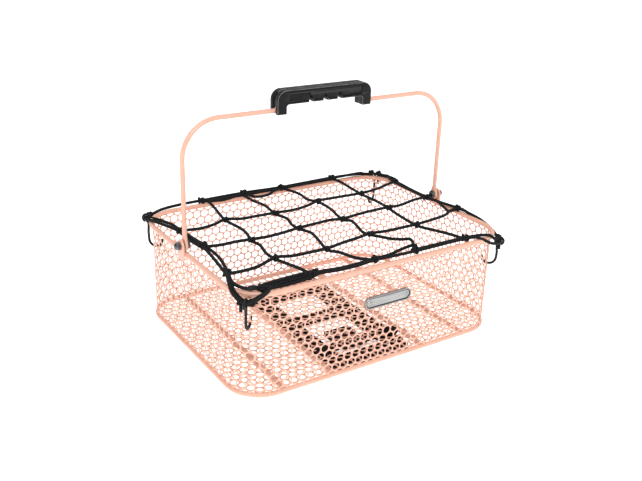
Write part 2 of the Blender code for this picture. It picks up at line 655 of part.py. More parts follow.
def hook_route(side_x, side_y, low, eye):
    """Ring at the top, shank down outside the wall, and a hook in through its hole and up."""
    out = Vector((side_x, side_y, 0)).normalized()
    base = corner_point(side_x, side_y, 0)

    def place(radius, z):
        return base + out * radius + Vector((0, 0, z))

    ring = [place(HOOK_EYE + HOOK_RING * math.cos(math.radians(a)),
                  eye + HOOK_RING * math.sin(math.radians(a))) for a in range(-60, 241, 25)]
    shank = [place(47.0 * MM, eye - HOOK_RING - 6 * MM), place(47.4 * MM, (eye + low) / 2),
             place(46.8 * MM, low + 6 * MM), place(44.2 * MM, low + 1.6 * MM),
             place(40.5 * MM, low), place(36.0 * MM, low + 0.4 * MM),
             place(32.2 * MM, low + 3.4 * MM), place(30.6 * MM, low + 9 * MM)]
    return ring + smooth_route([ring[-1]] + shank, 3 * MM)[1:]


def make_hooks(mats):
    for name, (side_x, side_y, low, eye) in HOOKS.items():
        route = hook_route(side_x, side_y, low, eye)
        mesh = tube_mesh("net_hook_" + name, route, HOOK_WIRE, sides=1)
        add_part("net_hook_" + name, mesh, mats["wire"])


def main():
    clear_scene()
    mats = make_materials()
    make_rods(mats)
    make_wall(mats)
    make_floor(mats)
    make_bail(mats)
    make_pivots(mats)
    make_grip(mats)
    make_badge(mats)
    make_adapter(mats)
    make_clamps(mats)
    make_latch(mats)
    make_net(mats)
    make_hooks(mats)


main()
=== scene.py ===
"""Looks of the rack basket: perforated sheet, smooth rods, knotted net, moulded grip and hardware."""

import math

import bmesh
import bpy
import numpy as np
from mathutils import Matrix, Vector


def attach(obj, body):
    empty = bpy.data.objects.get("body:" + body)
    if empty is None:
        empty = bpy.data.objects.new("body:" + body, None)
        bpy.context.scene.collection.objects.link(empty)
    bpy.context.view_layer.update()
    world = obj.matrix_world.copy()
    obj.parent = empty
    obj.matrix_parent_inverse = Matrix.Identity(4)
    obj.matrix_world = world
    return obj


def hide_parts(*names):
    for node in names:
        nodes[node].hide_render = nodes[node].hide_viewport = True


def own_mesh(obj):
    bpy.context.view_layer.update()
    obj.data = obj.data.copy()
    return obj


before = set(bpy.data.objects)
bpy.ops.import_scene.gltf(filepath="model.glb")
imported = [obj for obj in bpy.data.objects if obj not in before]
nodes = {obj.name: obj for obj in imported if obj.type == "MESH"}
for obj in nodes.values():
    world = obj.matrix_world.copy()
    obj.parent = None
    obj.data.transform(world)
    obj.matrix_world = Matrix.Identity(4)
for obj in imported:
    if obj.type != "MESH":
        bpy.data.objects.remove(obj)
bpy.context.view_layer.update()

MM = 0.001
SIDES = ((-1, "left"), (1, "right"))
FACING_FRONT = Matrix.Rotation(math.radians(90), 4, "X")      # stands a flat plate up

# Sheet: a hexagonal punch pattern with its rows level.
SHEET = 0.8
PITCH = 10.0
ROW = PITCH * math.sqrt(3) / 2
HOLE = 4.35                        # 4.2 in CAD; widened to match the photograph
CHAMFER = 0.18
WALL_HALF = (168.8, 124.4)
WALL_CORNER = 38.3
WALL_Z = (12.0, 122.3)             # its edges are sunk into the two rods
WALL_ROWS = 12                     # whole rows; a cut row runs into each rod
FIRST_ROW_Z = 19.25
FLOOR_HALF = (167.2, 122.6)        # its edge is sunk into the lower rod
FLOOR_CORNER = 36.8
FLOOR_Z = 10.6
HOLE_POINTS = 18                   # three for each side of a hexagonal cell

# Rods.
RIM_HALF = (170.4, 125.9)
RIM_CORNER = 39.7
RIM_RADIUS = 2.75
RIM_Z = 124.1
RING_HALF = (168.4, 123.8)
RING_CORNER = 38.0
RING_RADIUS = 2.5
RING_Z = 10.0
ROD_SIDES = 24

# Bail, pivots and grip.
PIVOT_Y, PIVOT_Z = 3.5, 133.4
BAIL_HALF = 170.0
BAIL_TOP = 265.3
BAIL_BEND = 41.0
BAIL_RADIUS = 2.5
BAIL_RAISE = 11.5
EYE_RADIUS = 6.2
EYE_THICK = 3.6
BOLT_HOLE = 2.8
TAB_X = 173.5
TAB_THICK = 2.2
TAB_HALF = 7.0
TAB_BOTTOM = 118.5
GRIP_X = -3.0
GRIP_HALF = 60.5
GRIP_LEG = 11.5
GRIP_BOTTOM, GRIP_UNDER, GRIP_TOP = 261.5, 271.8, 287.0
GRIP_DEPTH = 16.6
GRIP_CORNER = 11.0
NOTCH_PITCH = 18.4
NOTCH_SIZE = (5.6, 7.2)

# Badge.
BADGE_X, BADGE_Z = 3.0, 84.2
BADGE_HALF = (30.5, 7.0)
BADGE_THICK = 2.4
RIVET_X = 23.5

# Clamp screws, and the latch's return spring.
CLAMP_X, CLAMP_Y = 46.0, -81.0
SPRING_TURNS = 9
SPRING_RADIUS, SPRING_WIRE = 1.45, 0.35
SPRING_Y = (-89.7, -58.0)
SPRING_Z = 3.8

# Net. Rows and columns cross at NET_Z, one just above and the other just below.
CORD = 1.75                        # radius; 1.5 in CAD, thickened
CORD_STEP = 2.5                    # distance between the rings of a cord
NET_Z = 129.3
CROSSING = 0.9
CORNER_CENTRE = (130.7, 86.2)
HOOK_EYE = 48.9
HOOK_RING = 4.6
HOOK_WIRE = 1.5                    # radius, thickened
HOOK_SHANK_TOP = 47.0              # only what lies further in follows the hook's turn
HOOKS = {                          # side in X, side in Y, lowest point, middle of the eye, turn
    "front_left": (-1, -1, 86.9, 117.0, 0.0),
    "front_right": (1, -1, 86.9, 115.5, 0.0),
    "back_right": (1, 1, 89.2, 121.0, 14.0),
    "back_left": (-1, 1, 89.2, 123.0, 0.0),
}
ROWS = (
    ((-156, 50), (-133, 45), (-113, 49), (-95, 57), (-80, 50), (-59, 49), (-34, 48), (-11, 46),
     (10, 50), (33, 59), (50, 59), (70, 58), (97, 57), (120, 60), (142, 67), (165, 75)),
    ((-152, -4), (-135, -8), (-115, -8), (-98, -10), (-80, -12), (-58, -10), (-34, -6), (-10, -4),
     (9, -3), (25, -6), (49, -3), (73, -1), (96, -1), (112, -2), (140, 5), (161, 6)),
    ((-163, -76), (-148, -78), (-127, -76), (-100, -65), (-83, -70), (-63, -71), (-40, -71),
     (-16, -66), (4, -63), (26, -59), (46, -62), (67, -62), (90, -62), (117, -59), (138, -55),
     (153, -47), (169, -43)),
)
COLUMNS = (
    ((-83, 128), (-87, 103), (-92, 77), (-95, 57), (-92, 34), (-92, 14), (-98, -10), (-96, -25),
     (-101, -48), (-100, -65), (-95, -83), (-90, -100), (-88, -118)),
    ((-36, 128), (-35, 101), (-31, 79), (-34, 48), (-30, 30), (-35, 9), (-34, -6), (-29, -23),
     (-35, -50), (-40, -71), (-32, -83), (-26, -102), (-18, -111), (-12, -118)),
    ((20, 126), (28, 97), (26, 74), (33, 59), (33, 34), (28, 11), (25, -6), (32, -13), (28, -31),
     (23, -49), (26, -59), (32, -68), (40, -80), (50, -87), (57, -90), (53, -101), (44, -113),
     (42, -121)),
    ((99, 127), (101, 110), (99, 86), (97, 57), (98, 33), (98, 19), (96, -1), (92, -27), (90, -62),
     (98, -82), (106, -101), (112, -121)),
)


# Studio and camera. Lights are: name, place in metres, size, watts.
LIGHTS = (("key", (-0.9, -1.2, 1.7), 0.5, 18.0), ("fill", (1.5, -1.0, 1.1), 1.4, 4.0),
          ("top", (0.1, 0.5, 1.9), 1.0, 6.0))
WORLD_STRENGTH = 0.55
CAMERA_PLACE = (-0.5003, -0.7471, 0.4779)
CAMERA_TURN = (-33.77, 22.51, 1.85)    # azimuth, elevation and roll
CAMERA_LENS = 46.87


# --- meshes ---

def at(x, y, z):
    return Matrix.Translation((x * MM, y * MM, z * MM))


def new_object(name, data):
    obj = bpy.data.objects.new(name, data)
    bpy.context.scene.collection.objects.link(obj)
    return obj


def add(mesh, mat, body, replaced=(), matrix=None):
    """New piece, named as its mesh, that rides on a body and may replace CAD nodes."""
    obj = new_object(mesh.name, mesh)
    if matrix is not None:
        obj.matrix_world = matrix
    mesh.materials.clear()
    mesh.materials.append(mat)
    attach(obj, body)
    if replaced:
        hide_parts(*replaced)
    return obj


def write_mesh(bm, mesh):
    """Write an edit mesh out and let go of it."""
    bm.to_mesh(mesh)
    bm.free()
    return mesh


def clean(mesh, merge):
    """Join points closer than merge millimetres and turn every face outwards."""
    bm = bmesh.new()
    bm.from_mesh(mesh)
    if merge:
        bmesh.ops.remove_doubles(bm, verts=bm.verts, dist=merge * MM)
    bmesh.ops.recalc_face_normals(bm, faces=bm.faces)
    write_mesh(bm, mesh)


def make_mesh(name, verts, faces, sharp=40, merge=0.0):
    """Mesh from points in millimetres."""
    mesh = bpy.data.meshes.new(name)
    mesh.from_pydata([tuple(float(c) * MM for c in v) for v in verts], [], faces)
    clean(mesh, merge)
    finish_shading(mesh, sharp)
    return mesh


def finish_shading(mesh, sharp):
    mesh.shade_smooth()
    mesh.set_sharp_from_angle(angle=math.radians(sharp))


def evaluated(obj):
    """Mesh of an object with its modifiers applied."""
    graph = bpy.context.evaluated_depsgraph_get()
    return bpy.data.meshes.new_from_object(obj.evaluated_get(graph))


def loft_faces(rings, sides):
    """Faces between rings of points that follow each other, with a cap at both ends."""
    faces = []
    for k in range(rings - 1):
        for i in range(sides):
            j = (i + 1) % sides
            faces.append((k * sides + i, k * sides + j, (k + 1) * sides + j, (k + 1) * sides + i))
    faces.append(tuple(range(sides))[::-1])
    faces.append(tuple((rings - 1) * sides + i for i in range(sides)))
    return faces


def arc(centre, radius, start, end, steps):
    angles = np.radians(np.linspace(start, end, steps + 1))
    return [(centre[0] + radius * math.cos(a), centre[1] + radius * math.sin(a)) for a in angles]


def rounded_rectangle(half_x, half_y, radius, steps):
    points = []
    for sx, sy, start in ((1, -1, -90), (1, 1, 0), (-1, 1, 90), (-1, -1, 180)):
        corner = (sx * (half_x - radius), sy * (half_y - radius))
        points += arc(corner, radius, start, start + 90, steps)
    return points


def spline(knots, step, closed=False):
    """Evenly spaced points on a Catmull-Rom curve through the knots."""
    knots = [np.array(k, float) for k in knots]
    count = len(knots)
    dense = []
    for i in range(count if closed else count - 1):
        if closed:
            p0, p1, p2, p3 = (knots[(i + k) % count] for k in (-1, 0, 1, 2))
        else:
            p0, p1, p2, p3 = (knots[min(max(i + k, 0), count - 1)] for k in (-1, 0, 1, 2))
        for t in np.arange(16) / 16:
            dense.append(0.5 * (2 * p1 + (p2 - p0) * t + (2 * p0 - 5 * p1 + 4 * p2 - p3) * t ** 2
                                + (3 * p1 - p0 - 3 * p2 + p3) * t ** 3))
    dense.append(knots[0] if closed else knots[-1])
    dense = np.array(dense)
    run = np.concatenate([[0], np.cumsum(np.linalg.norm(np.diff(dense, axis=0), axis=1))])
    pieces = max(3, int(round(run[-1] / step)))
    want = np.linspace(0, run[-1], pieces + 1)
    if closed:
        want = want[:-1]
    return np.stack([np.interp(want, run, dense[:, i]) for i in range(3)], axis=1)


def sweep(points, radius, sides=12, closed=False, start=0):
    """Round tube along points: vertices, faces and a (length, turn) pair for each face corner."""
    points = np.asarray(points, float)
    count = len(points)
    ahead = np.roll(points, -1, axis=0) - points
    if not closed:
        ahead[-1] = ahead[-2]
    behind = np.roll(ahead, 1, axis=0)
    if not closed:
        behind[0] = ahead[0]
    along = ahead / np.linalg.norm(ahead, axis=1)[:, None]
    along += behind / np.linalg.norm(behind, axis=1)[:, None]
    along /= np.linalg.norm(along, axis=1)[:, None]
    side = np.cross(along[0], (0.0, 0.0, 1.0) if abs(along[0][2]) < 0.9 else (0.0, 1.0, 0.0))
    frames = []
    for k in range(count):
        side = side - along[k] * np.dot(side, along[k])
        side /= np.linalg.norm(side)
        frames.append((side.copy(), np.cross(along[k], side)))
    twist = 0.0
    if closed:
        last = side - along[0] * np.dot(side, along[0])
        last /= np.linalg.norm(last)
        u, v = frames[0]
        twist = math.atan2(np.dot(last, v), np.dot(last, u))
    verts = []
    for k, (u, v) in enumerate(frames):
        angles = 2 * math.pi * np.arange(sides) / sides - twist * k / count
        ring = points[k] + radius * (np.outer(np.cos(angles), u) + np.outer(np.sin(angles), v))
        verts.append(ring)
    verts = np.concatenate(verts)
    length = np.concatenate([[0], np.cumsum(np.linalg.norm(ahead, axis=1))])
    faces, uvs = [], []
    for k in range(count if closed else count - 1):
        n = (k + 1) % count
        for i in range(sides):
            j = (i + 1) % sides
            faces.append(tuple(start + q for q in
                               (k * sides + i, k * sides + j, n * sides + j, n * sides + i)))
            uvs += [(length[k], i / sides), (length[k], (i + 1) / sides),
                    (length[k + 1], (i + 1) / sides), (length[k + 1], i / sides)]
    if not closed:
        for k, order in ((0, -1), (count - 1, 1)):
            faces.append(tuple(start + k * sides + i for i in range(sides))[::order])
            uvs += [(length[k], 0.0)] * sides
    return verts, faces, uvs


def tubes_mesh(name, runs, sides=12):
    """One mesh of several tubes; runs are (points, radius, closed). UVs are in millimetres."""
    verts, faces, uvs = [], [], []
    for points, radius, closed in runs:
        v, f, uv = sweep(points, radius, sides, closed, sum(len(x) for x in verts))
        verts.append(v)
        faces += f
        uvs += uv
    mesh = bpy.data.meshes.new(name)
    mesh.from_pydata((np.concatenate(verts) * MM).tolist(), [], faces)
    layer = mesh.uv_layers.new(name="UVMap")
    layer.data.foreach_set("uv", np.array(uvs, np.float32).ravel())
    finish_shading(mesh, 50)
    return mesh


def turned(name, profile, mat, place, axis, replaced, steps=48):
    """Turned piece: profile is (radius, height) along axis, from one end to the other."""
    verts = []
    for radius, height in profile:
        for a in 2 * math.pi * np.arange(steps) / steps:
            verts.append((max(radius, 0.01) * math.cos(a), max(radius, 0.01) * math.sin(a), height))
    mesh = make_mesh(name, verts, loft_faces(len(profile), steps), 35)
    turn = Vector(axis).to_track_quat("Z", "Y").to_matrix().to_4x4()
    add(mesh, mat, "tub", replaced, at(*place) @ turn)


def plate_mesh(name, outlines, thickness, bevel=0.0, steps=2):
    """Flat plate in XY with rounded edges; outlines after the first are holes."""
    curve = bpy.data.curves.new(name, "CURVE")
    curve.dimensions = "2D"
    curve.fill_mode = "BOTH"
    curve.extrude = (thickness / 2 - bevel) * MM
    curve.bevel_depth = bevel * MM
    curve.bevel_resolution = steps
    curve.offset = -bevel * MM
    for points in outlines:
        line = curve.splines.new("POLY")
        line.points.add(len(points) - 1)
        for point, place in zip(line.points, points):
            point.co = (place[0] * MM, place[1] * MM, 0.0, 1.0)
        line.use_cyclic_u = True
    guide = new_object(name, curve)
    mesh = evaluated(guide)
    bpy.data.objects.remove(guide, do_unlink=True)
    mesh.name = name
    clean(mesh, 0.002)
    finish_shading(mesh, 35)
    return mesh


def carve(obj, tools, operation="DIFFERENCE"):
    """Apply booleans with plain meshes, given in metres in the world's axes."""
    for index, tool_mesh in enumerate(tools):
        tool = new_object(f"{obj.name}_tool_{index}", tool_mesh)
        modifier = obj.modifiers.new("carve", "BOOLEAN")
        modifier.operation = operation
        modifier.solver = "EXACT"
        modifier.object = tool
        mesh = evaluated(obj)
        obj.modifiers.clear()
        obj.data = mesh
        bpy.data.objects.remove(tool, do_unlink=True)
    finish_shading(obj.data, 35)


# --- materials ---

class Shader:
    """Small helper that wires one procedural Principled material."""

    def __init__(self, name, roughness, metallic=0.0):
        self.mat = bpy.data.materials.new(name)
        self.mat.use_nodes = True
        self.tree = self.mat.node_tree
        self.bsdf = self.tree.nodes["Principled BSDF"]
        self.bsdf.inputs["Roughness"].default_value = roughness
        self.bsdf.inputs["Metallic"].default_value = metallic

    def node(self, kind, **values):
        node = self.tree.nodes.new(kind)
        for key, value in values.items():
            setattr(node, key, value)
        return node

    def link(self, out, to):
        self.tree.links.new(out, to)

    def noise(self, scale, detail=3.0, stretch=(1.0, 1.0, 1.0)):
        place = self.node("ShaderNodeTexCoord")
        mapping = self.node("ShaderNodeMapping")
        mapping.inputs["Scale"].default_value = stretch
        self.link(place.outputs["Object"], mapping.inputs["Vector"])
        noise = self.node("ShaderNodeTexNoise")
        noise.inputs["Scale"].default_value = scale
        noise.inputs["Detail"].default_value = detail
        noise.inputs["Roughness"].default_value = 0.55
        self.link(mapping.outputs["Vector"], noise.inputs["Vector"])
        return noise.outputs["Fac"]

    def ramp(self, fac, low, high, at=(0.35, 0.65)):
        ramp = self.node("ShaderNodeValToRGB")
        ramp.color_ramp.elements[0].position = at[0]
        ramp.color_ramp.elements[1].position = at[1]
        ramp.color_ramp.elements[0].color = (*low, 1.0)
        ramp.color_ramp.elements[1].color = (*high, 1.0)
        self.link(fac, ramp.inputs["Fac"])
        return ramp.outputs["Color"]

    def mix(self, fac, colour, other):
        """From a linked colour towards another, given as three numbers."""
        mix = self.node("ShaderNodeMix", data_type="RGBA")
        self.link(fac, mix.inputs["Factor"])
        self.link(colour, mix.inputs[6])
        mix.inputs[7].default_value = (*other, 1.0)
        return mix.outputs[2]

    def range(self, value, low, high, start=0.0, end=1.0):
        """Map start to end onto low to high."""
        node = self.node("ShaderNodeMapRange")
        self.link(value, node.inputs["Value"])
        for socket, number in (("From Min", start), ("From Max", end), ("To Min", low),
                               ("To Max", high)):
            node.inputs[socket].default_value = number
        return node.outputs["Result"]

    def edges(self, low=0.5, high=0.58):
        """1 on convex edges, from the mesh's own pointiness."""
        geometry = self.node("ShaderNodeNewGeometry")
        return self.range(geometry.outputs["Pointiness"], 0.0, 1.0, low, high)

    def bump(self, height, strength, distance=0.1, after=None):
        bump = self.node("ShaderNodeBump")
        bump.inputs["Strength"].default_value = strength
        bump.inputs["Distance"].default_value = distance * MM
        self.link(height, bump.inputs["Height"])
        if after is not None:
            self.link(after, bump.inputs["Normal"])
        return bump.outputs["Normal"]

    def math(self, operation, *values):
        node = self.node("ShaderNodeMath", operation=operation)
        for socket, value in zip(node.inputs, values):
            if isinstance(value, (int, float)):
                socket.default_value = value
            else:
                self.link(value, socket)
        return node.outputs["Value"]

    def done(self, colour=None, roughness=None, normal=None):
        if colour is not None:
            self.link(colour, self.bsdf.inputs["Base Color"])
        if roughness is not None:
            self.link(roughness, self.bsdf.inputs["Roughness"])
        if normal is not None:
            self.link(normal, self.bsdf.inputs["Normal"])
        return self.mat


def powder_coat():
    """Satin salmon powder coat: fine orange peel, thin cloudiness, and convex edges painted paler,
    partly as wear and partly as a painted highlight.
    """
    s = Shader("salmon_powder_coat", 0.4)
    colour = s.ramp(s.noise(55.0, 4.0), (0.82, 0.43, 0.31), (0.86, 0.47, 0.35))
    # Convex edges are mixed towards a paler salmon: partly edge wear, partly a painted highlight.
    colour = s.mix(s.math("MULTIPLY", s.edges(), 0.35), colour, (0.93, 0.66, 0.54))
    roughness = s.range(s.noise(210.0, 3.0), 0.34, 0.46)
    normal = s.bump(s.noise(1400.0, 2.0), 0.12, 0.05)
    s.bsdf.inputs["Specular IOR Level"].default_value = 0.45
    s.bsdf.inputs["Coat Weight"].default_value = 0.15
    s.bsdf.inputs["Coat Roughness"].default_value = 0.25
    return s.done(colour, roughness, normal)


def moulding(name, specular, painted_edge_grey):
    """Black moulded plastic with a fine spark-eroded grain; its convex edges are painted a paler grey
    as a highlight.
    """
    s = Shader(name, 0.5)
    colour = s.ramp(s.noise(90.0, 4.0), (0.004, 0.004, 0.005), (0.010, 0.010, 0.011))
    # Painted highlight: convex edges are mixed towards a paler grey.
    colour = s.mix(s.math("MULTIPLY", s.edges(0.505, 0.6), 0.7), colour, (painted_edge_grey,) * 3)
    roughness = s.range(s.noise(260.0, 3.0), 0.28, 0.42)
    normal = s.bump(s.noise(3200.0, 2.0), 0.2, 0.05)
    s.bsdf.inputs["Specular IOR Level"].default_value = specular
    return s.done(colour, roughness, normal)


def painted_highlight_edge():
    """Painted highlight: paler rounded edges of the moulded grip."""
    s = Shader("painted_highlight_edge", 0.35)
    colour = s.ramp(s.noise(140.0, 4.0), (0.08, 0.08, 0.085), (0.18, 0.18, 0.185))
    return s.done(colour, s.range(s.noise(260.0), 0.3, 0.45))


def braided_cord():
    """Black braided elastic: two sets of crossing strands worked out from the tube's own UVs."""
    s = Shader("black_braided_cord", 0.72)
    place = s.node("ShaderNodeTexCoord")
    split = s.node("ShaderNodeSeparateXYZ")
    s.link(place.outputs["UV"], split.inputs["Vector"])
    along = s.math("MULTIPLY", split.outputs["X"], 2 * math.pi / 2.4)
    around = s.math("MULTIPLY", split.outputs["Y"], 2 * math.pi * 4)
    one = s.math("SINE", s.math("ADD", along, around))
    two = s.math("SINE", s.math("SUBTRACT", along, around))
    weave = s.math("MAXIMUM", one, two)
    height = s.range(weave, 0.0, 1.0)
    # Partly random tone, partly painted shade: the grooves between the strands are darker than their
    # crowns.
    shade = s.math("ADD", s.math("MULTIPLY", height, 0.6), s.math("MULTIPLY", s.noise(900.0), 0.4))
    colour = s.ramp(shade, (0.002, 0.002, 0.003), (0.014, 0.015, 0.017), (0.2, 0.95))
    normal = s.bump(height, 0.7, 0.25)
    s.bsdf.inputs["Specular IOR Level"].default_value = 0.22
    return s.done(colour, s.range(shade, 0.82, 0.62), normal)


def coated_wire():
    """Black dipped wire, a little uneven."""
    s = Shader("black_coated_wire", 0.35)
    colour = s.ramp(s.noise(120.0), (0.008, 0.008, 0.009), (0.02, 0.02, 0.022))
    s.bsdf.inputs["Specular IOR Level"].default_value = 0.2
    return s.done(colour, s.range(s.noise(300.0), 0.28, 0.45), s.bump(s.noise(700.0), 0.2, 0.1))


def zinc():
    """Zinc-plated steel with faint tool marks."""
    s = Shader("zinc_plated_steel", 0.3, 1.0)
    colour = s.ramp(s.noise(260.0), (0.07, 0.07, 0.075), (0.2, 0.2, 0.21))
    normal = s.bump(s.noise(1800.0, 2.0, (1.0, 1.0, 4.0)), 0.2, 0.05)
    return s.done(colour, s.range(s.noise(500.0), 0.22, 0.42), normal)


def cast_badge(name, shade):
    """Silver cast badge, brushed along its length; shade 1 is bright, and less gives a darker copy
    used as a painted shadow.
    """
    s = Shader(name, 0.32, 1.0)
    streaks = s.noise(700.0, 4.0, (0.06, 1.0, 1.0))
    colour = s.ramp(streaks, (0.2 * shade,) * 3, (0.36 * shade,) * 3)
    colour = s.mix(s.math("MULTIPLY", s.edges(0.5, 0.56), 0.6), colour, (0.6 * shade,) * 3)
    normal = s.bump(streaks, 0.25, 0.08, s.bump(s.noise(420.0, 3.0), 0.5, 0.3))
    return s.done(colour, s.range(streaks, 0.26, 0.44), normal)


def studio_floor():
    s = Shader("studio_floor", 0.6)
    colour = s.ramp(s.noise(2.0, 2.0), (0.90,) * 3, (0.92,) * 3)
    s.bsdf.inputs["Specular IOR Level"].default_value = 0.2
    s.bsdf.inputs["Emission Color"].default_value = (1.0, 1.0, 1.0, 1.0)
    s.bsdf.inputs["Emission Strength"].default_value = 0.7
    return s.done(colour)


# --- tub ---

def wrap(run, offset):
    """Points at a run along the wall from its front middle, set out from it by offset."""
    half, corner = WALL_HALF, WALL_CORNER
    a, b = half[0] - corner, half[1] - corner
    quarter = math.pi * corner / 2
    total = 4 * (a + b + quarter)
    run = np.mod(np.asarray(run, float), total)
    x, y = np.zeros_like(run), np.zeros_like(run)
    # length, start and direction of each straight side, then the middle and angle of its corner
    legs = ((a, (0, -half[1]), (1, 0), (a, -b), -90),
            (2 * b, (half[0], -b), (0, 1), (a, b), 0),
            (2 * a, (a, half[1]), (-1, 0), (-a, b), 90),
            (2 * b, (-half[0], b), (0, -1), (-a, -b), 180),
            (a, (-a, -half[1]), (1, 0), None, 0))
    begin = 0.0
    for length, start, way, centre, angle in legs:
        here = (run >= begin - 1e-9) & (run <= begin + length)
        t = run - begin
        out = (way[1], -way[0])
        x = np.where(here, start[0] + way[0] * t + out[0] * offset, x)
        y = np.where(here, start[1] + way[1] * t + out[1] * offset, y)
        begin += length
        if centre is None:
            break
        here = (run > begin) & (run < begin + quarter)
        turn = np.radians(angle) + (run - begin) / corner
        x = np.where(here, centre[0] + (corner + offset) * np.cos(turn), x)
        y = np.where(here, centre[1] + (corner + offset) * np.sin(turn), y)
        begin += quarter
    return x, y, total


def cell_rings(pitch):
    """Outline of one hexagonal cell and the circle in it, point for point."""
    corners = [(pitch / 2, ROW / 3), (0, 2 * ROW / 3), (-pitch / 2, ROW / 3),
               (-pitch / 2, -ROW / 3), (0, -2 * ROW / 3), (pitch / 2, -ROW / 3)]
    edge = []
    share = HOLE_POINTS // 6
    for m in range(6):
        a, b = np.array(corners[m]), np.array(corners[(m + 1) % 6])
        edge += [a + (b - a) * k / share for k in range(share)]
    turn = np.radians(30 + 360 / HOLE_POINTS * np.arange(HOLE_POINTS))
    return np.array(edge), np.stack([np.cos(turn), np.sin(turn)], axis=1)


def make_wall(coat):
    total = wrap([0.0], 0.0)[2]
    columns = int(round(total / PITCH))
    pitch = total / columns
    edge, circle = cell_rings(pitch)
    half = SHEET / 2
    levels = ((None, half), (HOLE + CHAMFER, half), (HOLE, half - CHAMFER),
              (HOLE, CHAMFER - half), (HOLE + CHAMFER, -half), (None, -half))
    verts, faces = [], []

    def add_cell(middle, z, side, cut):
        """A whole cell, or the part of one above (side 1) or below (side -1) the height cut."""
        keep = list(range(HOLE_POINTS))
        if side:
            keep = [(i + (0 if side > 0 else HOLE_POINTS // 2)) % HOLE_POINTS
                    for i in range(HOLE_POINTS // 3 + 1)]
        base, count = len(verts), len(keep) + (2 if side else 0)
        for radius, offset in levels:
            flat = [tuple(edge[i] if radius is None else circle[i] * radius) for i in keep]
            if side:
                reach = pitch / 2 if radius is None else math.sqrt(radius ** 2 - cut ** 2)
                flat = [(side * reach, cut)] + flat + [(-side * reach, cut)]
            flat = np.array(flat)
            x, y, _ = wrap(middle + flat[:, 0], offset)
            verts.extend(zip(x, y, z + flat[:, 1]))
        for level in range(len(levels) - 1):
            for i in range(count - 1 if side else count):
                j = (i + 1) % count
                p, q = base + level * count, base + (level + 1) * count
                faces.append((p + i, p + j, q + j, q + i))
        if side:
            for i in (0, count - 1):
                faces.append(tuple(base + level * count + i for level in range(len(levels))))

    for row in range(-1, WALL_ROWS + 1):
        z = FIRST_ROW_Z + row * ROW
        side = 1 if row < 0 else -1 if row == WALL_ROWS else 0
        cut = WALL_Z[0 if side > 0 else 1] - z
        for column in range(columns):
            add_cell((column + 0.5 * (row % 2)) * pitch, z, side, cut)
    mesh = make_mesh("wall_perforated", verts, faces, 30, 0.004)
    add(mesh, coat, "tub", ["wall_mesh"])


def inside(x, y, half, corner, margin):
    """True where a point lies inside a rounded rectangle by at least margin."""
    dx = max(abs(x) - (half[0] - corner), 0.0)
    dy = max(abs(y) - (half[1] - corner), 0.0)
    return math.hypot(dx, dy) <= corner - margin


def make_floor(coat):
    """A wider punched sheet, cut to the floor's outline so that holes run into its edge."""
    wide = [half + 2 * PITCH for half in FLOOR_HALF]
    holes = []
    rows = int(FLOOR_HALF[1] / ROW) + 2
    columns = int(FLOOR_HALF[0] / PITCH) + 2
    for row in range(-rows, rows + 1):
        for column in range(-columns, columns + 1):
            place = ((column + 0.5 * (row % 2)) * PITCH, row * ROW)
            if inside(*place, FLOOR_HALF, FLOOR_CORNER, 0.3 - HOLE):
                holes.append(arc(place, HOLE, 360, 360 / HOLE_POINTS, HOLE_POINTS - 1))
    sheet = [rounded_rectangle(*wide, FLOOR_CORNER, 16)] + holes
    floor = add(plate_mesh("floor_perforated", sheet, SHEET, CHAMFER, 0), coat,
                "tub", ["floor_mesh"], at(0, 0, FLOOR_Z))
    outline = plate_mesh("outline", [rounded_rectangle(*FLOOR_HALF, FLOOR_CORNER, 16)], 4 * SHEET)
    outline.transform(at(0, 0, FLOOR_Z))
    carve(floor, [outline], "INTERSECT")


def level(points, z):
    return [(x, y, z) for x, y in points]


def make_rods(coat):
    for name, half, corner, radius, z in (("top_rim", RIM_HALF, RIM_CORNER, RIM_RADIUS, RIM_Z),
                                          ("bottom_ring", RING_HALF, RING_CORNER, RING_RADIUS,
                                           RING_Z)):
        route = level(rounded_rectangle(*half, corner, 24), z)
        mesh = tubes_mesh(name + "_rod", [(route, radius, True)], ROD_SIDES)
        add(mesh, coat, "tub", [name])


# --- bail ---

def bail_route():
    straight = BAIL_HALF - BAIL_BEND
    step_out, step_in = GRIP_HALF - 1, GRIP_HALF - 12.5
    points = [(-BAIL_HALF, z) for z in np.linspace(PIVOT_Z + 12, BAIL_TOP - BAIL_BEND, 12)[:-1]]
    points += arc((-straight, BAIL_TOP - BAIL_BEND), BAIL_BEND, 180, 90, 20)
    half = [(-x, z) for x, z in points]
    for t in np.linspace(0, 1, 14):
        x = step_out + (step_in - step_out) * t
        points.append((GRIP_X - x, BAIL_TOP + BAIL_RAISE * 0.5 * (1 - math.cos(math.pi * t))))
        half.append((GRIP_X + x, points[-1][1]))
    return [(x, PIVOT_Y, z) for x, z in points + half[::-1]]


